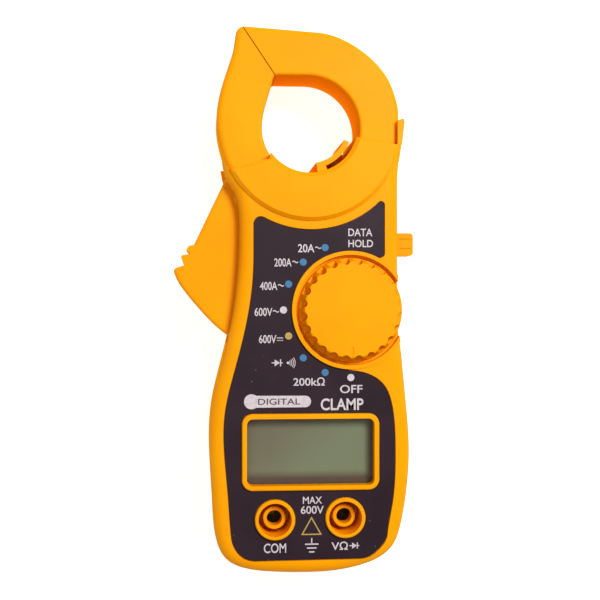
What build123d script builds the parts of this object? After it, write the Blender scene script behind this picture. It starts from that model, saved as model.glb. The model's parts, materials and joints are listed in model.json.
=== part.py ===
from build123d import *

import os
from math import atan2, cos, degrees, radians, sin

# Pocket clamp meter, an assembly of separate pieces, in millimetres.
# The meter lies on its back: +Z out of the front face, +Y towards the jaws and +X to the right as
# the dial is read. The origin is on the back face, on the case's middle line.

# ---- levels up from the back face ------------------------------------------------------------
Z_PART = 14.5  # the two case shells meet here
Z_PLATE_UNDER = 24.6
Z_PLATE = 26.6
LABEL_T = 0.4
LABEL_GAP = 0.15  # round the label in its recess, whose edge then runs under the dial ring
Z_RIM = 27.4
Z_HEAD = 28.6
Z_HEAD_UNDER = 26.4
Z_EAR = 26.0
HEAD_BEVEL = 0.9
COLLAR_BEVEL = 0.6
HEAD = (0.2, 43.6)
HEAD_R = 23.3
WALL = 2.0
REAR_PLATE = 2.0
EDGE_R = 3.0  # rounding between the case's sides and its faces

# ---- jaws and trigger ------------------------------------------------------------------------
HOLE = (0.0, 45.3)
HOLE_R = 12.5
HOLE_WALL = 1.8
JAW_Z = (7.0, 24.0)
JAW_SPLIT = 15.5
JAW_WALL = 1.5
JAW_EDGE_R = 1.6
HOLE_EDGE_R = 0.8
JAW_GAP = 0.35
CORE_Z = (11.5, 19.5)
CORE_INSET = (3.2, 2.8)  # in from the hole's wall and in from the jaw's outer wall
RIB_R = (9.85, 11.25)
RIB_TOP = 26.0
RIB_ROOT = (-80.0, -68.0)  # degrees round the hole, where the rib joins the wall
RIB_END = -22.0
POCKET = (-66.0, -48.0)  # a shallow recess in the hole wall behind the rib
POCKET_R = 13.3
SEAM_IN = (-9.2, 59.2)
SEAM_TIP = (-17.5, 71.5)
SEAM_GAP = 0.13
PIVOT = (-14.8, 27.0)
PIN_R = 2.0
PIN_Z = (1.2, 26.0)
BUSH_R = 3.0
BOSS_R = 4.8
SPLIT_ANGLE = 50.0  # the moving core's lower end lies on this line through the pivot
FIXED_END_ANGLE = -38.0  # the fixed jaw's shells end here, under the collar
TRIGGER_Z = (8.5, 21.5)
SPRING_AT = (14.0, 11.5)  # y and z of the return spring, which lies along X
SPRING_SEAT = (-4.6, -3.4)
SPRING_WIRE_R = 0.3
JAW_SCREWS = [(-23.6, 19.5), (-24.2, 1.5)]
COIL_ANGLES = (275.0, 308.0)

# ---- rotary dial -----------------------------------------------------------------------------
DIAL = (10.7, -2.9)
KNOB_TOP_R = 12.4
KNOB_BASE_R = 13.7
Z_KNOB = (25.95, 31.0)
NOTCHES = 24
NOTCH_R = 1.1
NOTCH_AT = 12.85
RECESS_R = 14.4
RING_R = 15.4
Z_RECESS = 25.6
Z_RING = 27.8
HUB_R = 3.9
ROTOR_R = 9.0
DETENT_R = 7.2
STEP = 22.5
POSITIONS = 8

# ---- display, sockets, button ----------------------------------------------------------------
LCD_AT = (0.2, -39.75)
LCD_FRAME = (35.8, 19.9)
LCD_RIM = 1.3
Z_LCD_RIM = 28.0
SOCKETS = {"com": (-9.1, -57.2), "v_ohm": (9.2, -56.9)}
BARREL_R = 5.25
SHROUD_R = 4.3
POST_R = 2.95
JACK_BORE_R = 2.03
JACK_R = 2.6
Z_BARREL = (6.0, 28.1)
Z_JACK = (6.0, 20.2)
Z_SOCKET_FLOOR = (15.5, 17.0)
Z_POST = 24.4
HOLD_Y = 14.75
HOLD_Z = 14.5
HOLD_HALF = (3.05, 3.0)
HOLD_X = (19.0, 29.0)
HOLD_GAP = 0.2

# ---- board and cells -------------------------------------------------------------------------
Z_BOARD = (19.4, 21.0)
CELL_R = 5.25
CELL_L = 44.5
CELL_Y = (-31.6, -42.6)
CELL_Z = 7.65
CELL_PLATES = (-22.8, 23.0)
TRAY_Y = (-48.1, -26.1)
TRAY_TOP = 13.2
COVER_Y = (-53.0, -24.6)
COVER_HALF_X = 22.3
COVER_T = 1.6
COVER_GAP = 0.15
COVER_SCREW = (0.0, -51.0)
CASE_SCREWS = [(17.6, 24.2), (-18.4, -17.2), (20.0, -20.3), (-17.6, -64.0), (17.4, -64.0)]
BOARD_SCREWS = [(-13.5, -22.8), (18.0, 8.2), (-19.4, -55.6), (19.4, -55.4)]


# ---- small helpers ---------------------------------------------------------------------------
def prism(face, z0, z1):
    """A flat face pulled up from z0 to z1."""
    return Pos(0, 0, z0) * extrude(face, amount=z1 - z0)


def disc(at, r):
    return Pos(*at) * Circle(r)


def rod(at, r, z0, z1):
    """An upright cylinder."""
    return Pos(at[0], at[1], (z0 + z1) / 2) * Cylinder(r, z1 - z0)


def block(x, y, z):
    """A box from its three spans."""
    size = [b - a for a, b in (x, y, z)]
    middle = [(a + b) / 2 for a, b in (x, y, z)]
    return Pos(*middle) * Box(*size)


def x_rod(at, r, x0, x1):
    """A cylinder along X, at (y, z)."""
    return Pos((x0 + x1) / 2, at[0], at[1]) * Rot(0, 90, 0) * Cylinder(r, x1 - x0)


def side_of(at, angle, gap=0.0):
    """A large square on the left of a line through a point, set back from it by gap."""
    return Location((at[0], at[1], 0), (0, 0, angle)) * Pos(0, 150 + gap) * Rectangle(300, 300)


def polar(at, r, angle):
    return (at[0] + r * cos(radians(angle)), at[1] + r * sin(radians(angle)))


def edges_at(shape, z):
    """The edges that lie flat at height z."""
    return shape.edges().filter_by_position(Axis.Z, z - 0.01, z + 0.01)


def coil(r, wire_r, height, turns):
    """A round-wire coil standing on the origin along +Z."""
    path = Helix(pitch=height / turns, height=height, radius=r)
    start = Plane(origin=path @ 0, z_dir=path % 0)
    return sweep(start * Circle(wire_r), path=path, is_frenet=True)


def solid_of(shape):
    """The largest solid, when an operation leaves crumbs beside it."""
    return max(shape.solids(), key=lambda s: s.volume)


def grown(face, amount):
    """A flat face grown outwards, or inwards where amount is negative, with plain spline edges."""
    return Sketch() + [f.to_splines() for f in offset(face, amount).faces()]


# ---- outlines --------------------------------------------------------------------------------
def case_outline():
    """The case seen from the front, with a plain straight top that the collar is cut from."""
    right = Spline(
        [(0, -71.4), (8.0, -70.9), (14.5, -69.5), (19.4, -67.3), (22.4, -64.2), (24.0, -60.0),
         (25.2, -54.0), (26.4, -41.0), (25.4, -25.0), (24.0, -11.5), (23.3, 3.0)],
        tangents=[(1, 0), (0, 1)],
    )
    waist = Line((23.3, 3.0), (23.3, 26.0))
    shoulder = Spline([(23.3, 26.0), (23.7, 36.0), (25.0, 46.0)], tangents=[(0, 1), (0, 1)])
    top = Polyline([(25.0, 46.0), (25.0, 50.0), (-23.0, 50.0), (-23.0, 37.0)])
    nose = Spline(
        [(-23.0, 37.0), (-22.7, 34.8), (-21.9, 31.5), (-19.5, 27.5), (-18.4, 23.0), (-18.2, 18.0)],
        tangents=[(0, -1), (0, -1)],
    )
    left = Spline(
        [(-18.2, 18.0), (-18.6, 7.5), (-20.3, -6.0), (-23.2, -18.4), (-25.4, -28.0), (-26.1, -39.0),
         (-25.4, -52.0), (-24.4, -62.0), (-22.0, -67.3), (-16.0, -70.3), (-8.0, -71.2), (0, -71.4)],
        tangents=[(0, -1), (1, 0)],
    )
    return make_face([right, waist, shoulder] + top.edges() + [nose, left])


def collar_top():
    """What lies above the collar's two top edges, to be cut away."""
    left = Polyline(
        [(-40, 35.4), (-22.2, 35.4), (-20.6, 33.3), (-19.9, 33.3), (-10.7, 36.3), (-8.0, 45.3), (-8, 60),
         (-40, 60), (-40, 35.4)]
    )
    right = Polyline([(8.0, 45.3), (12.9, 41.8), (22.9, 40.3), (40, 37.7), (40, 60), (8, 60), (8.0, 45.3)])
    return make_face(left.edges()) + make_face(right.edges())


def label_outline(grow=0.0):
    """The black panel: a tall shape round the display, notched by the dial's ring and the head."""
    left = Spline(
        [(-14.6, 12.0), (-14.8, 5.5), (-16.4, -6.0), (-19.4, -18.2), (-22.0, -29.5), (-22.3, -37.5),
         (-21.2, -51.0), (-20.4, -61.4)],
        tangents=[(0, -1), (0.1, -1)],
    )
    right = Spline(
        [(20.2, -61.2), (21.5, -53.5), (22.3, -38.5), (21.4, -27.5), (19.2, -22.3), (15.5, -19.7),
         (10.0, -18.6)],
        tangents=[(0.1, 1), (-1, 0.1)],
    )
    foot_left = Spline([(-20.4, -61.4), (-18.4, -66.0), (-14.0, -67.8)], tangents=[(0.1, -1), (1, 0)])
    foot = Line((-14.0, -67.8), (13.0, -67.6))
    foot_right = Spline([(13.0, -67.6), (18.0, -65.2), (20.2, -61.2)], tangents=[(1, 0), (0.1, 1)])
    upper = Polyline([(10.0, -18.6), (10.0, 0), (19.5, 0), (19.5, 30), (-14.6, 30), (-14.6, 12.0)])
    face = make_face([left, foot_left, foot, foot_right, right] + upper.edges())
    face -= disc(HEAD, HEAD_R + 2.3)
    face -= disc(DIAL, RING_R + 0.1)
    face = solid_corner(face)
    return grown(face, grow) if grow else face


def solid_corner(face):
    """The label's largest piece, with its three upper corners rounded."""
    face = max(face.faces(), key=lambda f: f.area)
    for near, r in (((-14.6, 22.0), 1.8), ((19.5, 26.0), 0.9), ((19.5, 10.0), 1.2)):
        face = fillet(face.vertices().sort_by_distance(near)[0], r).faces()[0]
    return Sketch() + face


def hole_outline():
    """The inside of the jaws: round, but flat at its top and nearly straight at its upper left."""
    top = Line((-9.2, 58.8), (-0.3, 58.8))
    right = CenterArc((-0.3, 44.95), 13.85, 0, 90)
    lower = TangentArc((13.55, 44.95), (-12.3, 45.3), tangent=(0, -1))
    left = Spline([(-12.3, 45.3), (-11.3, 51.2), (-9.2, 58.8)], tangents=[lower % 1, (0.2, 1)])
    face = make_face([top, right, lower, left])
    corner = face.vertices().sort_by_distance((-9.2, 58.8))[0]
    return fillet(corner, 1.2)


def jaw_outer():
    """The outside of both jaws, closed by a round bottom that is hidden in the case."""
    top = Line((-18.8, 71.8), (2.5, 70.4))
    right = Spline(
        [(2.5, 70.4), (8.6, 68.9), (14.0, 65.9), (18.5, 62.0), (21.9, 57.0), (23.7, 51.5), (24.0, 45.0)],
        tangents=[top % 1, (0, -1)],
    )
    bottom = TangentArc((24.0, 45.0), (-22.9, 39.0), tangent=(0, -1))
    left = Spline(
        [(-22.9, 39.0), (-24.2, 46.0), (-23.7, 52.0), (-21.7, 59.3), (-20.1, 64.3), (-18.8, 71.8)],
        tangents=[bottom % 1, (0.2, 1)],
    )
    face = make_face([top, right, bottom, left])
    tip = face.vertices().sort_by_distance((-18.8, 71.8))[0]
    return fillet(tip, 2.4)


def ring(inner=0.0, outer=0.0):
    """The band that both jaws are made from, brought in from its two walls."""
    out_face = grown(jaw_outer(), -outer) if outer else jaw_outer()
    in_face = grown(hole_outline(), inner) if inner else hole_outline()
    return out_face - in_face


SEAM_ANGLE = degrees(atan2(SEAM_TIP[1] - SEAM_IN[1], SEAM_TIP[0] - SEAM_IN[0]))


def moving_side(gap):
    """The side of the ring that swings: left of the seam and above the line through the pivot."""
    return side_of(SEAM_IN, SEAM_ANGLE, gap) & side_of(PIVOT, SPLIT_ANGLE, gap)


def trigger_outline():
    """The thumb lever: a straight back, three grip teeth and a long sweep down to the case."""
    points = [(-21.8, 31.6), (-30.1, 14.2), (-31.5, 13.9), (-32.1, 12.9), (-31.0, 11.8), (-33.2, 11.5),
              (-33.5, 10.9), (-32.7, 8.8), (-34.9, 8.1), (-35.4, 7.4)]
    back = Polyline(points)
    sweep_down = Spline(
        [(-35.4, 7.4), (-32.4, 1.8), (-28.3, -3.1), (-21.3, -9.6)],
        tangents=[(0.25, -1), (1, -0.7)],
    )
    foot = Line((-21.3, -9.6), (-19.0, -10.4))
    inside = Polyline([(-19.0, -10.4), (-16.6, 0.0), (-14.2, 12.0), (-10.4, 24.8), PIVOT, (-21.8, 31.6)])
    return make_face(back.edges() + [sweep_down, foot] + inside.edges())


# ---- moving jaw and trigger ------------------------------------------------------------------
def rounded_ring():
    """Both jaws as one closed band with rounded edges, before the seam."""
    band = prism(ring(), *JAW_Z)
    rims = edges_at(band, JAW_Z[0]) + edges_at(band, JAW_Z[1])
    outer = [e for e in rims if (e.center() - Vector(*HOLE, e.center().Z)).length > 17]
    band = fillet(outer, JAW_EDGE_R)
    rims = edges_at(band, JAW_Z[0]) + edges_at(band, JAW_Z[1])
    inner = [e for e in rims if (e.center() - Vector(*HOLE, e.center().Z)).length < 17]
    return fillet(inner, HOLE_EDGE_R)


def moving_body():
    """The whole lever, before it is split into two shells."""
    jaw = rounded_ring() & prism(moving_side(SEAM_GAP), *JAW_Z)
    lever = prism(trigger_outline(), *TRIGGER_Z)
    long_edges = [e for z in TRIGGER_Z for e in edges_at(lever, z) if e.length > 15]
    lever = fillet(long_edges, 0.9)
    boss = rod(PIVOT, BOSS_R, *JAW_Z)
    return jaw + lever + boss


def moving_cavity():
    """The room inside the lever for its core, with a wall left at the seam."""
    jaw_room = ring(JAW_WALL, JAW_WALL) & moving_side(JAW_WALL)
    jaw_room = prism(jaw_room, JAW_Z[0] + JAW_WALL, JAW_Z[1] - JAW_WALL)
    lever_room = prism(grown(trigger_outline(), -JAW_WALL), TRIGGER_Z[0] + JAW_WALL, TRIGGER_Z[1] - JAW_WALL)
    return jaw_room + lever_room - rod(PIVOT, BOSS_R, *JAW_Z)


def moving_core():
    """Laminated half core: from the seam round to the line through the pivot."""
    face = ring(*CORE_INSET) & moving_side(SEAM_GAP)
    return solid_of(prism(face, *CORE_Z) - rod(PIVOT, BUSH_R + 0.6, *JAW_Z))


def moving_shells(core):
    """Front and rear shells of the lever, with posts for two screws and a bore for the bush."""
    posts = Part() + [rod(at, 1.7, 9.2, 20.8) for at in JAW_SCREWS]
    body = moving_body() - moving_cavity() - core
    body += posts - core
    body -= rod(PIVOT, BUSH_R, 0, 40)
    for at in JAW_SCREWS:
        body -= rod(at, 0.8, 9.9, 20.0)
        body -= rod(at, 1.5, 0, 9.9)
    upper = block((-60, 60), (-40, 90), (JAW_SPLIT, 40))
    return solid_of(body & upper), solid_of(body - upper)


def jaw_screws():
    return Part() + [rod(at, 1.4, 8.9, 9.9) + rod(at, 0.8, 9.9, 19.9) for at in JAW_SCREWS]


# ---- fixed jaw, core and coil ----------------------------------------------------------------
def fixed_side(gap, end_angle):
    return side_of(SEAM_IN, SEAM_ANGLE + 180, gap) & side_of(HOLE, end_angle, 0)


def fixed_core():
    """Laminated half core: from the seam down the right side and under the hole to the pivot."""
    face = ring(*CORE_INSET) - moving_side(-SEAM_GAP) - disc(PIVOT, BOSS_R + 0.4)
    return solid_of(prism(face, *CORE_Z))


def fixed_shells(core):
    """Front and rear shells of the fixed jaw."""
    body = rounded_ring() & prism(fixed_side(SEAM_GAP, FIXED_END_ANGLE), *JAW_Z)
    room = ring(JAW_WALL, JAW_WALL) & fixed_side(JAW_WALL, FIXED_END_ANGLE)
    body -= prism(room, JAW_Z[0] + JAW_WALL, JAW_Z[1] - JAW_WALL)
    body -= core
    upper = block((-60, 60), (-40, 90), (JAW_SPLIT, 40))
    return solid_of(body & upper), solid_of(body - upper)


def sector(r0, r1, a0, a1, z0, z1):
    """Part of a flat ring round the hole, between two angles less than half a turn apart."""
    face = (disc(HOLE, r1) - disc(HOLE, r0)) & side_of(HOLE, a0) & side_of(HOLE, a1 + 180)
    return prism(face, z0, z1)


def coil_parts(core):
    """Bobbin with two flanges, and the winding between them."""
    a0, a1 = COIL_ANGLES
    tube = sector(14.9, 21.9, a0, a1, 10.9, 20.1)
    flanges = sector(14.35, 23.0, a0 - 3, a0, 9.6, 21.3) + sector(14.35, 23.0, a1, a1 + 3, 9.6, 21.3)
    winding = sector(14.4, 22.5, a0, a1, 10.2, 20.8) - tube
    return tube + flanges - core, winding


def coil_pins():
    """Two straight pins from the bobbin's foot to the board's underside."""
    pins = [block((x - 0.3, x + 0.3), (18.2, y), (18.8, Z_BOARD[0])) for x, y in ((1.4, 22.6), (14.4, 27.8))]
    return Part() + pins


# ---- case shells -----------------------------------------------------------------------------
def rounded_case(z_low, z_high, round_at):
    """The case's outline as a solid, with its long edge rounded at one of its two faces."""
    body = prism(case_outline(), z_low, z_high)
    return fillet(edges_at(body, round_at), EDGE_R)


def room_face():
    """The case's inside: off the walls, off the hole's wall and off the collar's top edges."""
    face = grown(case_outline(), -WALL) - disc(HOLE, HOLE_R + HOLE_WALL)
    above = collar_top()
    return face - above - Pos(0, -1.8) * above


def jaw_passage():
    """What the jaws and the trigger sweep through, cut from both case shells."""
    low, high = JAW_Z[0] - JAW_GAP, JAW_Z[1] + JAW_GAP
    swing = (disc(PIVOT, 13.2) & side_of(PIVOT, SPLIT_ANGLE, -0.4)) + disc(PIVOT, BOSS_R + 0.4)
    swing_z = prism(swing, low, high)
    lever = block((-40, -12), (-11.6, 34.0), (TRIGGER_Z[0] - JAW_GAP, TRIGGER_Z[1] + JAW_GAP))
    fixed = prism(ring(-0.05, -0.05) & fixed_side(0, FIXED_END_ANGLE), JAW_Z[0], JAW_Z[1])
    return swing_z + lever + fixed


def ear_right(z0, z1):
    """A thin upright wall that carries the case's side up past the collar, clear of the fixed jaw."""
    points = Polyline(
        [(22.5, 36.0), (23.6, 36.0), (25.1, 46.5), (24.9, 47.4), (24.3, 47.4), (24.15, 43.5), (23.65, 40.0),
         (23.1, 38.0), (22.5, 36.0)]
    )
    return prism(make_face(points.edges()), z0, z1)


def ear_lip():
    """The upper ear's edge, turned in over the fixed jaw's rounded side."""
    points = Polyline([(23.3, 40.5), (24.4, 40.5), (25.1, 46.5), (24.9, 47.4), (23.3, 47.0), (23.3, 40.5)])
    return prism(make_face(points.edges()), JAW_Z[1] + 0.05, Z_EAR)


def front_case():
    """The upper shell: label panel, display rim, dial recess, raised head and its half collar."""
    body = rounded_case(Z_PART, Z_RIM, Z_RIM)
    head = rod(HEAD, HEAD_R, 20.0, Z_HEAD)
    head = chamfer(edges_at(head, Z_HEAD), HEAD_BEVEL)
    body += head & rounded_case(Z_PART, Z_HEAD, Z_HEAD)
    body -= prism(collar_top(), 0, 40)
    body -= Pos(0, 0, Z_HEAD - COLLAR_BEVEL) * extrude(collar_top(), amount=COLLAR_BEVEL + 0.1, taper=-45)
    hole = rod(HOLE, HOLE_R, 0, 40)
    bevel = Pos(HOLE[0], HOLE[1], Z_HEAD - 0.5) * Cone(HOLE_R, HOLE_R + 1.1, 1.1)
    body -= hole + bevel
    body -= sector(HOLE_R - 0.5, POCKET_R, *POCKET, 0, Z_HEAD - 4.0)
    room = room_face()
    body -= prism(room, Z_PART, Z_PLATE_UNDER)
    body -= prism(room & disc(HEAD, HEAD_R - 2.8), Z_PART, Z_HEAD_UNDER)
    body -= prism(label_outline(LABEL_GAP), Z_PLATE, 40)
    body = add_dial_recess(body)
    body = add_display_rim(body)
    for at in SOCKETS.values():
        body -= rod(at, BARREL_R, 20, 40)
    for at in CASE_SCREWS:
        body += rod(at, 2.9, Z_PART, Z_PLATE_UNDER + 0.2) - rod(at, 1.2, 0, 23.2)
    for at in BOARD_SCREWS:
        body += rod(at, 2.1, Z_BOARD[1], Z_PLATE_UNDER + 0.2) - rod(at, 0.9, 0, 23.9)
    body += rod(PIVOT, 3.3, JAW_Z[1] + 0.2, Z_HEAD_UNDER + 0.2)
    body -= rod(PIVOT, PIN_R, 0, PIN_Z[1])
    body -= jaw_passage()
    body -= button_hole()
    body += ear_right(Z_PART, Z_EAR) + ear_lip()
    return solid_of(body)


def add_dial_recess(body):
    """A round well for the knob, open at the case's right edge, with a raised ring and a hub bore."""
    envelope = prism(grown(case_outline(), -0.25), Z_PART, 40)
    body += rod(DIAL, RING_R, 23.8, Z_RING) & envelope
    body -= rod(DIAL, RECESS_R, Z_RECESS, 40)
    body -= rod(DIAL, HUB_R + 0.06, 0, 40)
    for i in range(POSITIONS):
        at = polar(DIAL, DETENT_R, 270 - STEP * i)
        body -= Pos(at[0], at[1], 23.8) * Sphere(0.45)
    return body


def display_face(width, height, corner):
    return Pos(*LCD_AT) * RectangleRounded(width, height, corner)


def add_display_rim(body):
    """A raised rim round the display's opening."""
    width, height = LCD_FRAME
    rim = prism(display_face(width, height, 2.8), Z_PLATE_UNDER, Z_LCD_RIM)
    rim = fillet(edges_at(rim, Z_LCD_RIM), 0.5)
    opening = display_face(width - 2 * LCD_RIM, height - 2 * LCD_RIM, 1.6)
    return body + rim - prism(opening, 0, 40)


def button_hole():
    half_y, half_z = HOLD_HALF
    half_y, half_z = half_y + HOLD_GAP, half_z + HOLD_GAP
    return block((18, 30), (HOLD_Y - half_y, HOLD_Y + half_y), (HOLD_Z - half_z, HOLD_Z + half_z))


def rear_case():
    """The lower shell: hole wall, inner guide rib, cell tray, screw posts and the pivot's lower boss."""
    body = rounded_case(0, Z_PART, 0)
    body -= prism(collar_top(), -1, 40)
    body -= rod(HOLE, HOLE_R, -1, 40)
    body -= prism(room_face(), REAR_PLATE, 40)
    body = add_cell_tray(body)
    for at in CASE_SCREWS:
        body += rod(at, 3.6, 0, Z_PART)
        body -= rod(at, 2.6, -1, 3.0)
        body -= rod(at, 1.35, -1, 40)
    body += rod(PIVOT, 3.3, 0, JAW_Z[0] - 0.2)
    body -= rod(PIVOT, PIN_R, PIN_Z[0], 40)
    body += block(SPRING_SEAT, (SPRING_AT[0] - 3.5, SPRING_AT[0] + 3.5), (1.0, Z_PART))
    body -= jaw_passage()
    body -= button_hole()
    body -= sector(HOLE_R - 0.5, POCKET_R, *POCKET, 3.0, 40)
    body += guide_rib()
    body += ear_right(2.5, Z_PART)
    body -= block(*rear_label_spans(0.1, -1))
    return solid_of(body)


def guide_rib():
    """A thin rib inside the hole's lower right, with a narrow slot between it and the wall."""
    start, end = RIB_ROOT
    rib = sector(*RIB_R, start, RIB_END, 1.0, RIB_TOP)
    root = sector(RIB_R[0], HOLE_R - 0.05, start, end, 1.0, RIB_TOP)
    root += sector(RIB_R[1], HOLE_R + 0.3, start, end, 1.0, Z_PART)
    foot = sector(RIB_R[0], HOLE_R + 0.3, end, RIB_END, 1.0, 3.0)
    return rib + root + foot


def add_cell_tray(body):
    """A roofed box for two cells, open at the back, where the cover sits in a rebate."""
    inside = prism(grown(case_outline(), -WALL), 1.0, TRAY_TOP + 1.1)
    shell = block((-30, 30), (TRAY_Y[0] - 1.2, TRAY_Y[1] + 1.2), (1.0, TRAY_TOP + 1.1)) & inside
    body += shell
    body -= block((-30, 30), TRAY_Y, (COVER_T + 0.4, TRAY_TOP)) & inside
    body -= block((-22.0, 22.0), TRAY_Y, (-1, TRAY_TOP))
    half_x = COVER_HALF_X + COVER_GAP
    rebate_y = (COVER_Y[0] - COVER_GAP, COVER_Y[1] + COVER_GAP)
    body -= block((-half_x, half_x), rebate_y, (-1, COVER_T + 0.1))
    body += rod(COVER_SCREW, 2.6, COVER_T + 0.1, 11.0)
    body -= rod(COVER_SCREW, 1.15, -1, 9.5)
    for x in CELL_PLATES:
        body -= block((x - 1.0, x + 1.0), (TRAY_Y[0] + 2, TRAY_Y[1] - 2), (TRAY_TOP - 1, TRAY_TOP + 3))
    return body


def rear_label_spans(gap, z_low):
    return (-14 - gap, 14 + gap), (-21 - gap, -4 + gap), (z_low, 0.35)


# ---- panel, display and board ----------------------------------------------------------------
def front_label():
    """The printed panel, with openings for the display rim, the sockets and the dial."""
    face = label_outline()
    width, height = LCD_FRAME
    face -= display_face(width + 0.2, height + 0.2, 2.9)
    for at in SOCKETS.values():
        face -= disc(at, BARREL_R + 0.1)
    return solid_of(prism(face, Z_PLATE, Z_PLATE + LABEL_T))


def display_parts():
    """Clear window under the panel, glass cell below it, its carrier and two contact strips."""
    window = prism(display_face(37.4, 21.4, 1.0), Z_PLATE_UNDER - 0.8, Z_PLATE_UNDER)
    glass = prism(display_face(36.6, 20.4, 0.4), 21.9, 23.7)
    holder = prism(display_face(39.6, 23.4, 1.5), Z_BOARD[1], 23.7)
    holder -= prism(display_face(36.8, 20.6, 0.5), 21.9, 30)
    holder -= prism(display_face(32.0, 14.0, 0.5), 0, 30)
    strips = Part()
    for side in (-1, 1):
        y = LCD_AT[1] + side * 8.6
        slot = block((LCD_AT[0] - 16.5, LCD_AT[0] + 16.5), (y - 0.9, y + 0.9), (Z_BOARD[1], 21.9))
        holder -= slot
        strips += slot
    return window, glass, holder, strips


def circuit_board():
    """One board under the whole panel, cut back on the left where the trigger swings in."""
    face = grown(case_outline(), -2.7)
    face &= Pos(0, -26.35) * Rectangle(80, 91.3)
    face -= Pos(-29.2, 20) * Rectangle(60, 64)
    for at in SOCKETS.values():
        face -= disc(at, BARREL_R + 0.25)
    for at in CASE_SCREWS:
        face -= disc(at, 3.15)
    for at in BOARD_SCREWS:
        face -= disc(at, 0.95)
    face -= disc(DIAL, 3.3)
    return solid_of(prism(face, *Z_BOARD))


def board_screws():
    low = Z_BOARD[0]
    return Part() + [rod(at, 1.8, low - 1.2, low) + rod(at, 0.9, low, 23.8) for at in BOARD_SCREWS]


def board_components():
    """Crystal, capacitors and resistors on the board's underside."""
    low = Z_BOARD[0]
    cans = [rod(at, 2.0, low - 4.5, low) for at in ((0.0, -57.0), (0.0, -62.5))]
    corners = [(x, y) for x in (-10.0, -5.0) for y in (-20.0, -16.6)]
    boxes = [block((x, x + 3.2), (y, y + 1.6), (low - 1.1, low)) for x, y in corners]
    fuse = block((14.5, 20.5), (-9.5, -7.0), (low - 2.6, low))
    return Part() + cans + boxes + [fuse]


# ---- dial ------------------------------------------------------------------------------------
def selector_knob():
    """A flat round knob with rounded notches all round, a small index groove and a hub."""
    low, high = Z_KNOB
    body = Pos(DIAL[0], DIAL[1], (low + high) / 2) * Cone(KNOB_BASE_R, KNOB_TOP_R, high - low)
    body = fillet(edges_at(body, high), 0.7)
    notch = Circle(NOTCH_R) + Pos(3, 0) * Rectangle(6, 2 * NOTCH_R)
    for i in range(NOTCHES):
        at = polar(DIAL, NOTCH_AT, 360 / NOTCHES * (i + 0.5))
        turned = Location((at[0], at[1], 0), (0, 0, 360 / NOTCHES * (i + 0.5))) * notch
        body -= prism(turned, low + 1.0, high + 1)
    body += rod(DIAL, HUB_R, 22.3, low + 0.2)
    body -= rod(DIAL, 1.1, 22.0, 29.0)
    body -= block((DIAL[0] - 0.3, DIAL[0] + 0.3), (DIAL[1] - 11.6, DIAL[1] - 9.6), (high - 0.25, high + 1))
    return solid_of(body)


def dial_rotor():
    """The disc under the panel that carries the contacts and the detent ball."""
    at = polar(DIAL, DETENT_R, 270)
    body = rod(DIAL, ROTOR_R, 22.3, 23.6) - rod(DIAL, HUB_R, 0, 40)
    body += rod(at, 1.5, 21.15, 23.6)
    body -= rod(at, 0.95, 21.5, 40)
    return body


def wiper_contacts():
    """A spring-brass plate with three contact pips over the board's tracks."""
    plate = (disc(DIAL, 8.6) - disc(DIAL, 4.4)) & side_of(DIAL, 60) & side_of(DIAL, -60)
    body = prism(plate, 22.0, 22.3)
    for r in (5.1, 6.5, 7.9):
        at = polar(DIAL, r, 90)
        body += rod(at, 0.35, 21.08, 22.1)
    return body


def knob_screw():
    return rod(DIAL, 2.4, 21.2, 22.3) + rod(DIAL, 1.1, 22.3, 28.5)


def detent():
    """The ball that clicks into the panel's dimples, and the coil under it."""
    at = polar(DIAL, DETENT_R, 270)
    ball = Pos(at[0], at[1], 22.87) * Sphere(0.9)
    spring = Pos(at[0], at[1], 21.62) * coil(0.65, 0.1, 0.2, 1.5)
    return ball, spring


# ---- hold button -----------------------------------------------------------------------------
def hold_button():
    """A rounded push button with two grooves along its cap, a flange and a plunger."""
    half_y, half_z = HOLD_HALF
    cap = block(HOLD_X, (HOLD_Y - half_y, HOLD_Y + half_y), (HOLD_Z - half_z, HOLD_Z + half_z))
    end = cap.faces().sort_by(Axis.X)[-1]
    cap = fillet(end.edges(), 1.1)
    for side in (-1, 1):
        y = HOLD_Y + side * 1.25
        cap -= block((25.2, 29), (y - 0.3, y + 0.3), (HOLD_Z + half_z - 0.35, HOLD_Z + half_z + 1))
    flange = block((HOLD_X[0], HOLD_X[0] + 1.2), (HOLD_Y - 4.1, HOLD_Y + 4.1), (HOLD_Z - 4.0, HOLD_Z + 4.0))
    stem = x_rod((HOLD_Y, HOLD_Z), 1.1, 13.2, HOLD_X[0] + 0.2)
    return cap + flange + stem


def hold_switch():
    """The push switch's housing under the board, with a bore for the button's stem."""
    body = block((7.5, 16.0), (HOLD_Y - 3.2, HOLD_Y + 3.2), (10.8, Z_BOARD[0]))
    return body - x_rod((HOLD_Y, HOLD_Z), 1.17, 11.6, 17)


def hold_spring():
    spring = Rot(0, 90, 0) * coil(1.75, 0.2, 2.3, 4)
    return Pos(16.35, HOLD_Y, HOLD_Z) * spring


# ---- sockets ---------------------------------------------------------------------------------
def socket_barrel(at):
    """The shroud of a socket: an outer tube with a web across it that holds the post."""
    low, high = Z_BARREL
    body = rod(at, BARREL_R, low, high)
    body = fillet(edges_at(body, high), 0.4)
    body -= rod(at, SHROUD_R, Z_SOCKET_FLOOR[1], high + 1)
    body -= rod(at, SHROUD_R, low - 1, Z_SOCKET_FLOOR[0])
    return body - rod(at, POST_R, low, high)


def socket_post(at):
    """The hollow post in a socket's middle, which holds the jack and guides the plug's tip."""
    low = Z_BARREL[0]
    body = rod(at, POST_R, low, Z_POST)
    body = fillet(edges_at(body, Z_POST), 0.25)
    body -= rod(at, JACK_R, low - 1, Z_JACK[1])
    return body - rod(at, JACK_BORE_R, low, Z_POST + 1)


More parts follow.
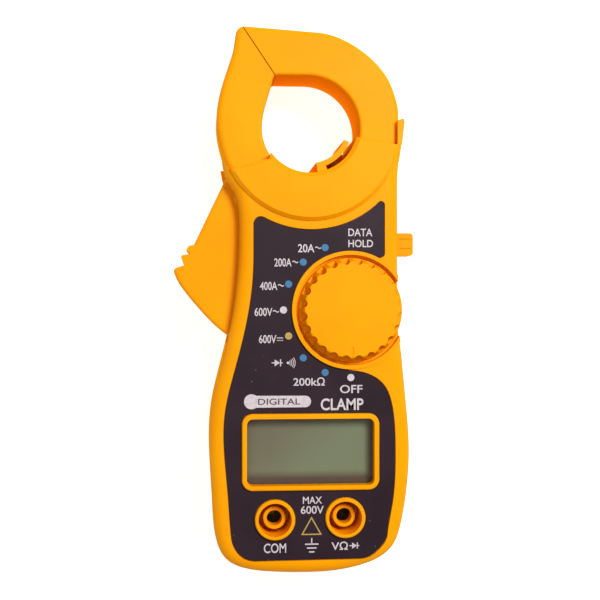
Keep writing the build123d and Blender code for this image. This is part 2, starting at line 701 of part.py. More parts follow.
def socket_jack(at):
    """The brass tube, closed at its lower end, that takes a 4 mm plug."""
    return rod(at, JACK_R, *Z_JACK) - rod(at, JACK_BORE_R, Z_JACK[0] + 1.0, Z_JACK[1] + 1)


def socket_lugs():
    """Flat brass feet from the jacks' lower ends up to the board, clear of the barrels."""
    lugs = []
    for at in SOCKETS.values():
        side = -1 if at[0] < 0 else 1
        x0, x1 = sorted((at[0], at[0] + side * 7.6))
        foot = block((x0, x1), (at[1] - 1.0, at[1] + 1.0), (Z_JACK[0] - 0.5, Z_JACK[0]))
        x0, x1 = sorted((at[0] + side * 7.0, at[0] + side * 7.6))
        lugs.append(foot + block((x0, x1), (at[1] - 1.0, at[1] + 1.0), (Z_JACK[0] - 0.5, Z_BOARD[0])))
    return Part() + lugs


# ---- cells and cover -------------------------------------------------------------------------
def cell(index):
    """One cell, with its small positive cap at the end that touches a plate."""
    way = 1 if index == 0 else -1
    plate = CELL_PLATES[1] if way > 0 else CELL_PLATES[0]
    at = (CELL_Y[index], CELL_Z)
    can_end = plate - way * 0.9
    x0, x1 = sorted((plate - way * CELL_L, can_end))
    can = x_rod(at, CELL_R, x0, x1)
    can = fillet(can.edges(), 0.4)
    nub = x_rod(at, 1.8, *sorted((can_end - way * 0.1, plate)))
    return can + nub


def cell_contacts():
    """One plate that joins both cells on the left and two plates with board tails on the right."""
    left, right = CELL_PLATES
    joined = block((left - 0.4, left), (CELL_Y[1] - 4, CELL_Y[0] + 4), (4.0, 11.5))
    parts = [joined]
    for y in CELL_Y:
        plate = block((right, right + 0.4), (y - 4, y + 4), (4.0, 11.5))
        tail = block((right, right + 0.4), (y - 1.2, y + 1.2), (11.0, Z_BOARD[0]))
        parts.append(plate + tail)
    return Part() + parts


def cell_springs():
    """The two coils that press on the flat ends of the cells."""
    left, right = CELL_PLATES
    length = 0.7
    first = Pos(left + 0.3, CELL_Y[0], CELL_Z) * Rot(0, 90, 0) * coil(2.6, 0.25, length, 2)
    second = Pos(right - 0.3 - length, CELL_Y[1], CELL_Z) * Rot(0, 90, 0) * coil(2.6, 0.25, length, 2)
    return Part() + [first, second]


def battery_cover():
    """A flush plate with grip grooves at its lower end."""
    body = block((-COVER_HALF_X, COVER_HALF_X), COVER_Y, (0, COVER_T))
    body = fillet(body.edges().filter_by(Axis.Z), 2.0)
    for i in range(5):
        y = COVER_Y[1] - 2.2 - 1.5 * i
        body -= block((-7, 7), (y - 0.35, y + 0.35), (-1, 0.5))
    body -= rod(COVER_SCREW, 1.3, -1, 9)
    body -= rod(COVER_SCREW, 2.3, -1, 0.9)
    return body


def cover_screw():
    head = rod(COVER_SCREW, 2.1, 0.05, 0.9) - block((-1.5, 1.5), (-51.2, -50.8), (-1, 0.45))
    return head + rod(COVER_SCREW, 1.1, 0.9, 9.0)


def case_screws():
    screws = []
    for at in CASE_SCREWS:
        head = rod(at, 2.4, 1.3, 3.0)
        for turn in (0, 90):
            head -= Pos(at[0], at[1], 1.3) * Rot(0, 0, turn) * Box(2.8, 0.6, 1.2)
        screws.append(head + rod(at, 1.2, 3.0, 22.0))
    return Part() + screws


# ---- pivot -----------------------------------------------------------------------------------
def pivot_bush():
    return rod(PIVOT, BUSH_R, *JAW_Z) - rod(PIVOT, PIN_R + 0.04, 0, 40)


def return_spring():
    """The coil that pushes the trigger out again, between its inner side and a seat in the case."""
    start = -13.2 + SPRING_WIRE_R
    length = SPRING_SEAT[0] - SPRING_WIRE_R - 0.02 - start
    return Pos(start, SPRING_AT[0], SPRING_AT[1]) * Rot(0, 90, 0) * coil(2.2, SPRING_WIRE_R, length, 6)


# ---- build and write -------------------------------------------------------------------------
def build():
    core_moving = moving_core()
    core_fixed = fixed_core()
    moving_front, moving_rear = moving_shells(core_moving)
    fixed_front, fixed_rear = fixed_shells(core_fixed)
    bobbin, winding = coil_parts(core_fixed)
    window, glass, holder, strips = display_parts()
    ball, ball_spring = detent()
    nodes = {
        "front_case": front_case(),
        "rear_case": rear_case(),
        "front_label": front_label(),
        "rear_label": block(*rear_label_spans(0, 0.05)),
        "lcd_window": window,
        "lcd_glass": glass,
        "lcd_holder": holder,
        "zebra_strips": strips,
        "circuit_board": circuit_board(),
        "board_screws": board_screws(),
        "board_components": board_components(),
        "driver_chip": block((-6, 4), (-41, -31), (17.8, Z_BOARD[0])),
        "buzzer": rod((10.5, -17.6), 5.0, 16.6, Z_BOARD[0]),
        "selector_knob": selector_knob(),
        "dial_rotor": dial_rotor(),
        "wiper_contacts": wiper_contacts(),
        "knob_screw": knob_screw(),
        "detent_ball": ball,
        "detent_spring": ball_spring,
        "hold_button": hold_button(),
        "hold_switch": hold_switch(),
        "hold_spring": hold_spring(),
        "socket_lugs": socket_lugs(),
        "battery_cover": battery_cover(),
        "battery_cover_screw": cover_screw(),
        "battery_cell_1": cell(0),
        "battery_cell_2": cell(1),
        "battery_contacts": cell_contacts(),
        "battery_springs": cell_springs(),
        "case_screws": case_screws(),
        "moving_jaw_front": moving_front,
        "moving_jaw_rear": moving_rear,
        "moving_core": core_moving,
        "jaw_screws": jaw_screws(),
        "pivot_bush": pivot_bush(),
        "pivot_pin": rod(PIVOT, PIN_R, *PIN_Z),
        "return_spring": return_spring(),
        "fixed_jaw_front": fixed_front,
        "fixed_jaw_rear": fixed_rear,
        "fixed_core": core_fixed,
        "coil_bobbin": bobbin,
        "coil_winding": winding,
        "coil_pins": coil_pins(),
    }
    for name, at in SOCKETS.items():
        nodes[name + "_socket_barrel"] = socket_barrel(at)
        nodes[name + "_socket_post"] = socket_post(at)
        nodes[name + "_jack"] = socket_jack(at)
    return nodes


def main():
    os.makedirs("parts", exist_ok=True)
    for node, shape in build().items():
        export_step(shape, os.path.join("parts", node + ".step"))


if __name__ == "__main__":
    main()
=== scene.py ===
"""The looks of a pocket clamp meter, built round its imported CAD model. Metres, in the CAD's own frame."""

import json
import math

import bmesh
import bpy
from mathutils import Matrix, Vector


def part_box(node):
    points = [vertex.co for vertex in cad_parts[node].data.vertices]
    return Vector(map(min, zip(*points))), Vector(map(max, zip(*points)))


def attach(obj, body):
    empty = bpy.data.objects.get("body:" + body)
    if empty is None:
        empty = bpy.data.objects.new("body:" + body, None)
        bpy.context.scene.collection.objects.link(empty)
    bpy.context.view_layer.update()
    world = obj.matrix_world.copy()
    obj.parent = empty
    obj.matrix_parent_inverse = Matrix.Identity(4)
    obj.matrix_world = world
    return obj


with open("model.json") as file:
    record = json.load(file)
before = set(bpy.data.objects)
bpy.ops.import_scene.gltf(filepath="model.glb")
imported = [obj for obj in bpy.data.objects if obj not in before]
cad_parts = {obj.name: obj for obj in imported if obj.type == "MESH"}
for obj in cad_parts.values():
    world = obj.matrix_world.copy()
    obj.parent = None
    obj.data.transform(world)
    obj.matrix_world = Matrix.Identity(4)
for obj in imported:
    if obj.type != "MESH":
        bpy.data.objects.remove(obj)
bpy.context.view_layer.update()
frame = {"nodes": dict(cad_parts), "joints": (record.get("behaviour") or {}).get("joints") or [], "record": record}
NODES = frame["nodes"]
MM = 0.001

# ---- places read from the frame ----------------------------------------------------------------
DIAL = next(j["pos_m"] for j in frame["joints"] if j["name"] == "dial_turn")
MOUNTS = {m["name"]: m["pos_m"] for m in frame["record"]["mounts"]}
LCD_LOW, LCD_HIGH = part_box("lcd_window")
LCD_X = (LCD_LOW.x + LCD_HIGH.x) / 2 / MM
LCD_TOP, LCD_FOOT = LCD_HIGH.y / MM, LCD_LOW.y / MM
HOLD_LOW, HOLD_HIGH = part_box("hold_button")
HOLD_Y = (HOLD_LOW.y + HOLD_HIGH.y) / 2 / MM
PRINT_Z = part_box("front_label")[1].z
PRINT_T = 0.03 * MM  # the thickness of printed ink


# ---- materials ---------------------------------------------------------------------------------
class Mat:
    """A Principled material and short calls for the nodes that drive it.

    Texture scales count features per metre, and bump distances are in metres.
    """

    def __init__(self, name, **values):
        self.material = bpy.data.materials.new(name)
        self.material.use_nodes = True
        self.tree = self.material.node_tree
        self.shader = self.tree.nodes["Principled BSDF"]
        self.coords = self.node("ShaderNodeTexCoord").outputs["Object"]
        for key, value in values.items():
            self.shader.inputs[key.replace("_", " ")].default_value = value

    def node(self, kind, inputs=None, **settings):
        made = self.tree.nodes.new(kind)
        for key, value in settings.items():
            setattr(made, key, value)
        for key, value in (inputs or {}).items():
            if isinstance(value, bpy.types.NodeSocket):
                self.tree.links.new(value, made.inputs[key])
            else:
                made.inputs[key].default_value = value
        return made

    def noise(self, scale, detail=2.0, roughness=0.5):
        values = {"Vector": self.coords, "Scale": scale, "Detail": detail, "Roughness": roughness}
        return self.node("ShaderNodeTexNoise", values).outputs["Fac"]

    def cells(self, scale):
        return self.node("ShaderNodeTexVoronoi", {"Vector": self.coords, "Scale": scale}).outputs["Distance"]

    def ramp(self, source, stops):
        made = self.node("ShaderNodeValToRGB", {"Fac": source})
        bar = made.color_ramp
        while len(bar.elements) < len(stops):
            bar.elements.new(0.5)
        for element, (at, colour) in zip(bar.elements, stops):
            element.position = at
            element.color = colour if len(colour) == 4 else (*colour, 1.0)
        return made.outputs["Color"]

    def map(self, source, low, high, to_low, to_high):
        values = {"Value": source, "From Min": low, "From Max": high, "To Min": to_low, "To Max": to_high}
        return self.node("ShaderNodeMapRange", values).outputs["Result"]

    def mix(self, factor, first, second):
        """A blend of two colours, which a Mix node holds in its inputs 6 and 7 and its output 2."""
        made = self.node("ShaderNodeMix", data_type="RGBA")
        for index, value in ((0, factor), (6, first), (7, second)):
            if isinstance(value, bpy.types.NodeSocket):
                self.tree.links.new(value, made.inputs[index])
            else:
                made.inputs[index].default_value = value if index == 0 else (*value, 1.0)
        return made.outputs[2]

    def drive(self, name, source):
        self.tree.links.new(source, self.shader.inputs[name])

    def bump(self, source, strength, distance):
        values = {"Height": source, "Strength": strength, "Distance": distance}
        self.drive("Normal", self.node("ShaderNodeBump", values).outputs["Normal"])


def moulded(name, colour, roughness, grain=0.12, drift=0.06):
    """Moulded plastic: a slow drift of shade, a fine spark-eroded grain and small changes of gloss."""
    m = Mat(name)
    low = tuple(c * (1 - drift) for c in colour)
    high = tuple(min(c * (1 + drift), 1.0) for c in colour)
    m.drive("Base Color", m.ramp(m.noise(45, 3), [(0.35, low), (0.65, high)]))
    m.drive("Roughness", m.map(m.noise(420, 4), 0.3, 0.7, roughness - 0.05, roughness + 0.06))
    m.bump(m.noise(5200, 2), grain, 0.00002)
    return m.material


def body_yellow():
    """Yellow moulded plastic, whose weak gloss fades where the surface turns away."""
    m = Mat("body_yellow", IOR=1.5)
    facing = m.node("ShaderNodeLayerWeight", {"Blend": 0.5}).outputs["Facing"]
    m.drive("Specular IOR Level", m.map(facing, 0.3, 0.7, 0.05, 0.0))
    m.shader.inputs["Subsurface Weight"].default_value = 0.02
    m.shader.inputs["Subsurface Radius"].default_value = (1.0, 0.35, 0.05)
    m.shader.inputs["Subsurface Scale"].default_value = 1.2 * MM
    m.drive("Base Color", m.ramp(m.noise(38, 3), [(0.3, (0.91, 0.310, 0.0)), (0.7, (0.95, 0.355, 0.001))]))
    m.drive("Roughness", m.map(m.noise(500, 4), 0.3, 0.7, 0.33, 0.45))
    m.bump(m.noise(4800, 2), 0.10, 0.00002)
    return m.material


def panel_black():
    """Near-black printed sheet with pale dust specks and fine scuffs."""
    m = Mat("panel_black", Specular_IOR_Level=0.12)
    base = m.ramp(m.noise(60, 3), [(0.3, (0.018, 0.008, 0.013)), (0.7, (0.027, 0.013, 0.020))])
    specks = m.ramp(m.cells(420), [(0.0, (1, 1, 1)), (0.07, (0, 0, 0))])
    sparse = m.map(m.noise(300, 1), 0.50, 0.55, 0.0, 1.0)
    few = m.node("ShaderNodeMath", {0: specks, 1: sparse}, operation="MULTIPLY").outputs[0]
    m.drive("Base Color", m.mix(few, base, (0.30, 0.23, 0.23)))
    m.drive("Roughness", m.map(m.noise(260, 5), 0.3, 0.7, 0.38, 0.52))
    m.bump(m.noise(3600, 3), 0.12, 0.00003)
    return m.material


def lcd_cell():
    """Grey-green reflective glass, browner at its upper left as a painted reflection of the recess walls, and
    darker inside its right and lower edges as painted shade from those walls.
    """
    m = Mat("lcd_cell", Roughness=0.35, Specular_IOR_Level=0.3)
    split = m.node("ShaderNodeSeparateXYZ", {"Vector": m.coords})
    low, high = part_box("lcd_glass")
    # painted reflection: the colour runs from brown at the upper left to grey-green at the right, standing in for
    # the recess walls reflected in the glass; a random stain varies it
    across = m.map(split.outputs["X"], low.x, high.x, 0.0, 1.0)
    down = m.map(split.outputs["Y"], high.y, low.y, 0.0, 0.6)
    painted_reflection_slope = m.node("ShaderNodeMath", {0: across, 1: down}, operation="ADD").outputs[0]
    stain = m.map(m.noise(90, 2), 0, 1, -0.12, 0.12)
    painted_reflection_and_stain = m.node("ShaderNodeMath", {0: painted_reflection_slope, 1: stain}, operation="ADD").outputs[0]
    stops = [(0.05, (0.115, 0.085, 0.042)), (0.5, (0.140, 0.135, 0.070)), (0.95, (0.165, 0.190, 0.100))]
    # painted shade: dark bands inside the right and lower edges, standing in for the shade that the recess walls
    # cast on the glass
    painted_shade_right = m.map(split.outputs["X"], high.x - 4 * MM, high.x - 1 * MM, 0.0, 1.0)
    painted_shade_low = m.map(split.outputs["Y"], low.y + 5 * MM, low.y + 3 * MM, 0.0, 1.0)
    painted_shade_edges = m.node("ShaderNodeMath", {0: painted_shade_right, 1: painted_shade_low}, operation="MAXIMUM").outputs[0]
    m.drive("Base Color", m.mix(painted_shade_edges, m.ramp(painted_reflection_and_stain, stops), (0.065, 0.032, 0.016)))
    m.bump(m.noise(900, 1), 0.02, 0.00002)
    return m.material


def clear_window():
    """Clear moulded plastic with a slight smoke, lightly rubbed."""
    m = Mat("clear_window", IOR=1.49, Alpha=0.06, Specular_IOR_Level=0.3)
    m.shader.inputs["Base Color"].default_value = (0.25, 0.28, 0.24, 1)
    m.drive("Roughness", m.map(m.noise(700, 5), 0.3, 0.7, 0.05, 0.14))
    m.bump(m.noise(2500, 2), 0.02, 0.00001)
    return m.material


def metal(name, colour, roughness, grain=900.0):
    """Turned or drawn metal with fine uneven polish."""
    m = Mat(name, Metallic=1.0)
    dark = tuple(c * 0.8 for c in colour)
    m.drive("Base Color", m.ramp(m.noise(grain, 4), [(0.3, dark), (0.7, colour)]))
    m.drive("Roughness", m.map(m.noise(grain * 2, 4), 0.3, 0.7, roughness - 0.07, roughness + 0.12))
    m.bump(m.noise(grain * 5, 2), 0.10, 0.00002)
    return m.material


def banded(name, first, second, pitch, axis, metallic, roughness):
    """Fine layers a pitch apart across one axis: sheet laminations or side-by-side turns of wire."""
    wave_length = 0.31  # how far apart the wave texture's bands lie at a scale of 1
    m = Mat(name, Metallic=metallic, Roughness=roughness)
    values = {"Vector": m.coords, "Scale": wave_length / pitch, "Distortion": 0.4}
    wave = m.node("ShaderNodeTexWave", values, bands_direction=axis)
    m.drive("Base Color", m.ramp(wave.outputs["Fac"], [(0.15, first), (0.6, second)]))
    m.bump(wave.outputs["Fac"], 0.5, 0.00008)
    return m.material


def board_green():
    """Solder mask over a grid of paler copper tracks."""
    m = Mat("board_green", Roughness=0.35)
    values = {"Vector": m.coords, "Scale": 240.0, "Mortar Size": 0.03}
    tracks = m.node("ShaderNodeTexBrick", values).outputs["Fac"]
    m.drive("Base Color", m.mix(tracks, (0.01, 0.10, 0.03), (0.05, 0.28, 0.10)))
    m.bump(tracks, 0.3, 0.00004)
    return m.material


def cell_jacket():
    """A plain two-colour sleeve with bare steel at its ends, along X."""
    m = Mat("cell_jacket", Roughness=0.3)
    split = m.node("ShaderNodeSeparateXYZ", {"Vector": m.coords})
    far = m.node("ShaderNodeMath", {0: split.outputs["X"]}, operation="ABSOLUTE").outputs[0]
    sleeve_half, dark_half, blur = 21.2 * MM, 11.0 * MM, 0.1 * MM
    ends = m.map(far, sleeve_half, sleeve_half + blur, 0.0, 1.0)
    band = m.map(far, dark_half, dark_half + blur, 0.0, 1.0)
    sleeve = m.mix(band, (0.025, 0.03, 0.045), (0.50, 0.30, 0.07))
    m.drive("Base Color", m.mix(ends, sleeve, (0.6, 0.6, 0.62)))
    m.drive("Metallic", ends)
    m.bump(m.noise(1500, 2), 0.05, 0.00002)
    return m.material


def ink(name, colour):
    """Screen-printed ink, slightly uneven in cover."""
    m = Mat(name)
    worn = tuple(c * 0.78 for c in colour)
    m.drive("Base Color", m.ramp(m.noise(1900, 3), [(0.32, worn), (0.55, colour)]))
    m.drive("Roughness", m.map(m.noise(1200, 2), 0.3, 0.7, 0.45, 0.6))
    m.bump(m.noise(6000, 2), 0.15, 0.00001)
    return m.material


MATERIALS = {
    "body_yellow": body_yellow(),
    "panel_black": panel_black(),
    "rating_plate": moulded("rating_plate", (0.42, 0.43, 0.44), 0.45, grain=0.2),
    "clear_window": clear_window(),
    "lcd_cell": lcd_cell(),
    "inner_black": moulded("inner_black", (0.022, 0.022, 0.024), 0.5),
    "conductive_rubber": banded(
        "conductive_rubber", (0.02, 0.02, 0.02), (0.5, 0.45, 0.4), 0.4 * MM, "X", 0.0, 0.6
    ),
    "board_green": board_green(),
    "component_blue": moulded("component_blue", (0.03, 0.08, 0.28), 0.3),
    "steel": metal("steel", (0.66, 0.66, 0.68), 0.28),
    "brass": metal("brass", (0.30, 0.20, 0.08), 0.38),
    "copper_wire": banded("copper_wire", (0.25, 0.08, 0.03), (0.80, 0.35, 0.14), 0.2 * MM, "X", 1.0, 0.35),
    "core_steel": banded("core_steel", (0.07, 0.07, 0.075), (0.45, 0.45, 0.47), 0.5 * MM, "Z", 0.9, 0.4),
    "cell_jacket": cell_jacket(),
}
INK_LIGHT = ink("ink_light", (0.60, 0.52, 0.54))
INK_BLUE = ink("ink_blue", (0.018, 0.15, 0.33))
INK_GOLD = ink("ink_gold", (0.42, 0.30, 0.055))
INK_DARK = ink("ink_dark", (0.05, 0.03, 0.04))


def dress_nodes():
    """Each CAD node takes the material of its slot in the record."""
    for part in frame["record"]["subparts"]:
        data = NODES[part["node"]].data
        data.materials.clear()
        data.materials.append(MATERIALS[part["material_slot"]])


dress_nodes()


# ---- printed legends ---------------------------------------------------------------------------
def text_shape(words, height, width, weight=0.0):
    """Letters as a flat closed mesh, fitted to height and width, centred on the origin and resting on it."""
    curve = bpy.data.curves.new("text", "FONT")
    curve.body = words
    curve.offset = weight
    curve.extrude = 0.01
    curve.resolution_u = 4
    maker = bpy.data.objects.new("text", curve)
    bpy.context.scene.collection.objects.link(maker)
    bpy.context.view_layer.update()
    mesh = bpy.data.meshes.new_from_object(maker.evaluated_get(bpy.context.evaluated_depsgraph_get()))
    bpy.data.objects.remove(maker)
    xs = [v.co.x for v in mesh.vertices]
    ys = [v.co.y for v in mesh.vertices]
    zs = [v.co.z for v in mesh.vertices]
    middle = Vector(((min(xs) + max(xs)) / 2, (min(ys) + max(ys)) / 2, min(zs)))
    scale = (width / (max(xs) - min(xs)), height / (max(ys) - min(ys)), PRINT_T / (max(zs) - min(zs)))
    mesh.transform(Matrix.Diagonal((*scale, 1)) @ Matrix.Translation(-middle))
    return mesh


def ribbon(points, width, closed=False):
    """A flat stroke of constant width through a list of (x, y) points."""
    made = bmesh.new()
    pairs = []
    count = len(points)
    for i, point in enumerate(points):
        before = points[(i - 1) % count] if closed or i else points[i]
        after = points[(i + 1) % count] if closed or i < count - 1 else points[i]
        first = (Vector(point) - Vector(before)).normalized() if point != before else None
        second = (Vector(after) - Vector(point)).normalized() if after != point else None
        way = (first or second) + (second or first)
        way.normalize()
        side = Vector((-way.y, way.x))
        reach = width / 2
        if first and second:
            reach /= max(way.dot(first), 0.4)  # so a sharp corner reaches at most 2.5 times as far
        pairs.append((Vector(point) + side * reach, Vector(point) - side * reach))
    low = [[made.verts.new((p.x, p.y, 0)) for p in pair] for pair in pairs]
    high = [[made.verts.new((p.x, p.y, PRINT_T)) for p in pair] for pair in pairs]
    steps = range(count if closed else count - 1)
    for i in steps:
        j = (i + 1) % count
        made.faces.new((high[i][0], high[i][1], high[j][1], high[j][0]))
        made.faces.new((low[i][1], low[i][0], low[j][0], low[j][1]))
        made.faces.new((low[i][0], high[i][0], high[j][0], low[j][0]))
        made.faces.new((high[i][1], low[i][1], low[j][1], high[j][1]))
    if not closed:
        for i in (0, count - 1):
            made.faces.new((low[i][0], low[i][1], high[i][1], high[i][0]))
    bmesh.ops.recalc_face_normals(made, faces=made.faces)
    mesh = bpy.data.meshes.new("ribbon")
    made.to_mesh(mesh)
    made.free()
    return mesh


def plate(points):
    """A flat closed patch of ink inside a list of (x, y) points."""
    made = bmesh.new()
    low = [made.verts.new((x, y, 0)) for x, y in points]
    high = [made.verts.new((x, y, PRINT_T)) for x, y in points]
    made.faces.new(high)
    made.faces.new(low[::-1])
    for i in range(len(points)):
        j = (i + 1) % len(points)
        made.faces.new((low[i], low[j], high[j], high[i]))
    bmesh.ops.recalc_face_normals(made, faces=made.faces)
    mesh = bpy.data.meshes.new("plate")
    made.to_mesh(mesh)
    made.free()
    return mesh


def ring_points(x, y, r, start=0.0, end=360.0, count=32):
    """Points along an arc; a whole turn leaves out the repeated last one."""
    whole = end - start >= 360
    steps = count if whole else count - 1
    turns = [math.radians(start + (end - start) * i / steps) for i in range(count)]
    return [(x + r * math.cos(t), y + r * math.sin(t)) for t in turns]


class Print:
    """Gathers flat ink shapes, placed and sized in millimetres on the panel, into one piece."""

    def __init__(self, name, material, z=PRINT_Z):
        self.name = name
        self.material = material
        self.z = z
        self.made = bmesh.new()

    def add(self, mesh, x=0.0, y=0.0):
        mesh.transform(Matrix.Translation((x * MM, y * MM, self.z)))
        self.made.from_mesh(mesh)
        bpy.data.meshes.remove(mesh)

    def text(self, words, x, y, width, height, weight=0.012):
        self.add(text_shape(words, height * MM, width * MM, weight), x, y)

    def stroke(self, points, width, closed=False):
        self.add(ribbon([(a * MM, b * MM) for a, b in points], width * MM, closed))

    def patch(self, points):
        self.add(plate([(a * MM, b * MM) for a, b in points]))

    def finish(self):
        """The piece rides on the case and takes its finish from a material slot."""
        mesh = bpy.data.meshes.new(self.name)
        self.made.to_mesh(mesh)
        self.made.free()
        mesh.materials.append(self.material)
        piece = bpy.data.objects.new(self.name, mesh)
        bpy.context.scene.collection.objects.link(piece)
        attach(piece, "case")


DIAL_MM = (DIAL[0] / MM, DIAL[1] / MM)
OFF, OHMS, TESTS, DC_VOLTS, AC_VOLTS, AMPS_400, AMPS_200, AMPS_20 = (270.0 - 22.5 * i for i in range(8))
DOT_AT = 17.6  # the dots' distance from the dial's axis
DOT_R = 0.93
TEXT_H = 2.15
SMALL_TEXT_H = 1.95
SIGN_L = 1.5  # the length of the sign after a range's name
SIGN_GAP = 0.2
BAR_Y = LCD_TOP + 2.4  # the middle of the bar above the display


def dial_point(angle):
    """The middle of the dot that lies at an angle round the dial, in millimetres."""
    turn = math.radians(angle)
    return (DIAL_MM[0] + DOT_AT * math.cos(turn), DIAL_MM[1] + DOT_AT * math.sin(turn))


def tilde(x, y, length, swing):
    """One whole wave centred on (x, y)."""
    return [(x + length * (i / 12 - 0.5), y + swing * math.sin(2 * math.pi * i / 12)) for i in range(13)]


def diode(out, x, y, size):
    """A solid arrowhead with a bar at its tip and a lead on each side."""
    half = size * 0.62
    tip = x + size * 0.5
    out.patch([(x - size * 0.45, y + half), (x - size * 0.45, y - half), (tip, y)])
    out.stroke([(tip + size * 0.1, y + half), (tip + size * 0.1, y - half)], size * 0.2)
    out.stroke([(x - size, y), (x - size * 0.45, y)], size * 0.18)
    out.stroke([(tip + size * 0.2, y), (x + size, y)], size * 0.18)


def print_ranges(light):
    """Range names that end just left of the dial's dots: words, place, gap, drop, width and sign."""
    rows = [
        ("20A", AMPS_20, 1.1, 0.2, 4.3, "wave"),
        ("200A", AMPS_200, 1.35, 0.1, 4.5, "wave"),
        ("400A", AMPS_400, 1.25, 0.5, 4.5, "wave"),
        ("600V", AC_VOLTS, 1.2, 0.5, 4.6, "wave"),
        ("600V", DC_VOLTS, 1.5, 0.8, 4.5, "bars"),
    ]
    for words, angle, gap, drop, width, sign in rows:
        dot = dial_point(angle)
        right, y = dot[0] - gap, dot[1] - drop
        light.text(words, right - SIGN_L - SIGN_GAP - width / 2, y, width, TEXT_H)
        middle = right - SIGN_L / 2
        if sign == "wave":
            light.stroke(tilde(middle, y + 0.15, SIGN_L, 0.2), 0.26)
        else:
            light.stroke([(middle - 0.8, y + 0.3), (middle + 0.8, y + 0.3)], 0.22)
            for i in (-1, 0, 1):
                light.stroke([(middle + 0.58 * i - 0.2, y - 0.35), (middle + 0.58 * i + 0.2, y - 0.35)], 0.22)


def print_other_positions(light):
    """Continuity with the diode, resistance and off, by their own dots."""
    x, y = dial_point(TESTS)
    x, y = x - 4.9, y - 1.25
    diode(light, x - 1.9, y, 1.45)
    light.patch(ring_points(x + 0.9, y, 0.32))
    for i in range(4):
        light.stroke(ring_points(x + 0.6, y, 0.85 + 0.45 * i, -38, 38, 9), 0.17)
    x, y = dial_point(OHMS)
    light.text("200kΩ", x - 4.2, y - 2.35, 8.2, TEXT_H)
    x, y = dial_point(OFF)
    light.text("OFF", x + 0.1, y - 3.0, 5.9, TEXT_H)
    for angle in (AC_VOLTS, OFF):
        light.patch(ring_points(*dial_point(angle), DOT_R))


def print_earth(out, x, y):
    """A lead down from (x, y) to three bars, each shorter than the one above."""
    lead = 1.6
    out.stroke([(x, y), (x, y - lead)], 0.3)
    for i, half in enumerate((1.75, 1.25, 0.7)):
        level = y - lead - i
        out.stroke([(x - half, level), (x + half, level)], 0.34)


def print_display_names(light):
    """The bar and the word above the display, and the rating and earth sign below it."""
    light.text("CLAMP", LCD_X + 8.2, LCD_TOP + 1.6, 11.2, 3.1, 0.02)
    half = 1.5
    right_end = ring_points(LCD_X - 1.4, BAR_Y, half, -90, 90, 12)
    left_end = ring_points(LCD_X - 15.4, BAR_Y, half + 0.45, 52, 308, 20)
    light.patch(right_end + left_end)
    light.text("MAX", LCD_X + 0.45, LCD_FOOT - 1.85, 5.0, 1.85)
    light.text("600V", LCD_X + 0.4, LCD_FOOT - 4.35, 6.0, 2.05)
    print_earth(light, LCD_X + 0.25, LCD_FOOT - 11.65)


def print_socket_names(light):
    """The names below the two sockets, with a diode beside the right one's."""
    x, y = (v / MM for v in MOUNTS["com_socket"][:2])
    light.text("COM", x, y - 7.4, 5.8, 2.5)
    x, y = (v / MM for v in MOUNTS["v_ohm_socket"][:2])
    light.text("VΩ", x - 1.45, y - 7.35, 4.3, TEXT_H)
    diode(light, x + 2.4, y - 7.35, 1.3)


def print_light():
    """All the pale ink, in one piece."""
    light = Print("panel_print_light", INK_LIGHT)
    print_ranges(light)
    print_other_positions(light)
    light.text("DATA", DIAL_MM[0] + 2.5, HOLD_Y + 2.6, 6.3, SMALL_TEXT_H)
    light.text("HOLD", DIAL_MM[0] + 2.6, HOLD_Y - 0.3, 6.5, SMALL_TEXT_H)
    print_display_names(light)
    print_socket_names(light)
    light.finish()


def print_colours():
    """The blue dots, the gold dot and triangle, and the dark word on the pale bar."""
    blue = Print("panel_print_blue", INK_BLUE)
    for angle in (AMPS_20, AMPS_200, AMPS_400, TESTS, OHMS):
        blue.patch(ring_points(*dial_point(angle), DOT_R))
    blue.finish()
    gold = Print("panel_print_gold", INK_GOLD)
    gold.patch(ring_points(*dial_point(DC_VOLTS), DOT_R))
    apex = LCD_FOOT - 6.4
    foot = apex - 4.3
    gold.stroke([(LCD_X + 0.2, apex), (LCD_X + 2.65, foot), (LCD_X - 2.25, foot)], 0.32, closed=True)
    gold.finish()
    dark = Print("panel_print_dark", INK_DARK, PRINT_Z + PRINT_T)
    dark.text("DIGITAL", LCD_X - 8.2, BAR_Y, 11.0, 1.6)
    dark.finish()


print_light()
print_colours()


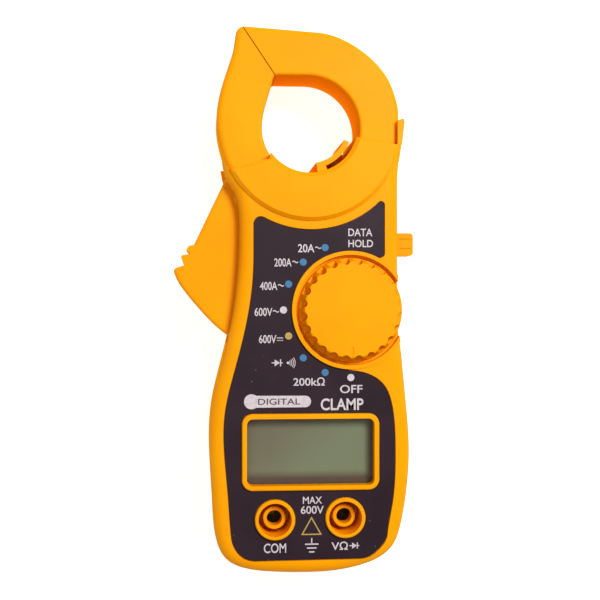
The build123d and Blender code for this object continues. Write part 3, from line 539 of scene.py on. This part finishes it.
# ---- floor, light and camera -------------------------------------------------------------------
def floor():
    """A pale floor, just below the meter's back."""
    made = bmesh.new()
    bmesh.ops.create_grid(made, x_segments=1, y_segments=1, size=3.0)
    mesh = bpy.data.meshes.new("floor")
    made.to_mesh(mesh)
    made.free()
    piece = bpy.data.objects.new("floor", mesh)
    piece.location.z = -0.2 * MM
    bpy.context.scene.collection.objects.link(piece)
    m = Mat("floor", Roughness=0.9, Specular_IOR_Level=0.0, Emission_Strength=0.8)
    m.shader.inputs["Emission Color"].default_value = (1, 1, 1, 1)
    m.drive("Base Color", m.ramp(m.noise(6, 2), [(0.3, (0.56, 0.56, 0.56)), (0.7, (0.58, 0.58, 0.58))]))
    mesh.materials.append(m.material)


def area(name, at, aim, size, power):
    """A round soft light, pointed at aim."""
    light = bpy.data.lights.new(name, "AREA")
    light.shape = "DISK"
    light.size = size
    light.energy = power
    lamp = bpy.data.objects.new(name, light)
    lamp.location = at
    lamp.rotation_euler = (Vector(aim) - Vector(at)).to_track_quat("-Z", "Y").to_euler()
    bpy.context.scene.collection.objects.link(lamp)


def studio():
    """An even pale surround, a key light at the upper right and a weak fill at the left."""
    world = bpy.data.worlds.new("world")
    bpy.context.scene.world = world
    world.use_nodes = True
    world.node_tree.nodes["Background"].inputs["Color"].default_value = (1, 1, 1, 1)
    world.node_tree.nodes["Background"].inputs["Strength"].default_value = 0.24
    middle = (0, 0, 0.02)
    area("key", (0.22, 0.25, 0.60), middle, 0.25, 4.4)
    area("fill", (-0.20, -0.05, 0.65), middle, 0.5, 0.9)
    bpy.context.scene.view_settings.view_transform = "Standard"


CAMERA_AT = Vector((-0.028, -0.002, 0.329))
CAMERA_AIM = Vector((-0.0026, -0.0003, 0.027))
LENS_MM = 70.0


def camera():
    """The camera above the meter and slightly to its left, with the jaws at the top of the picture."""
    data = bpy.data.cameras.new("camera")
    data.lens = LENS_MM
    data.clip_start = 0.01
    seen = bpy.data.objects.new("camera", data)
    seen.location = CAMERA_AT
    back = (CAMERA_AT - CAMERA_AIM).normalized()
    right = Vector((0, 1, 0)).cross(back).normalized()
    seen.rotation_euler = Matrix((right, back.cross(right), back)).transposed().to_euler()
    bpy.context.scene.collection.objects.link(seen)
    bpy.context.scene.camera = seen


floor()
studio()
camera()

bpy.context.view_layer.update()
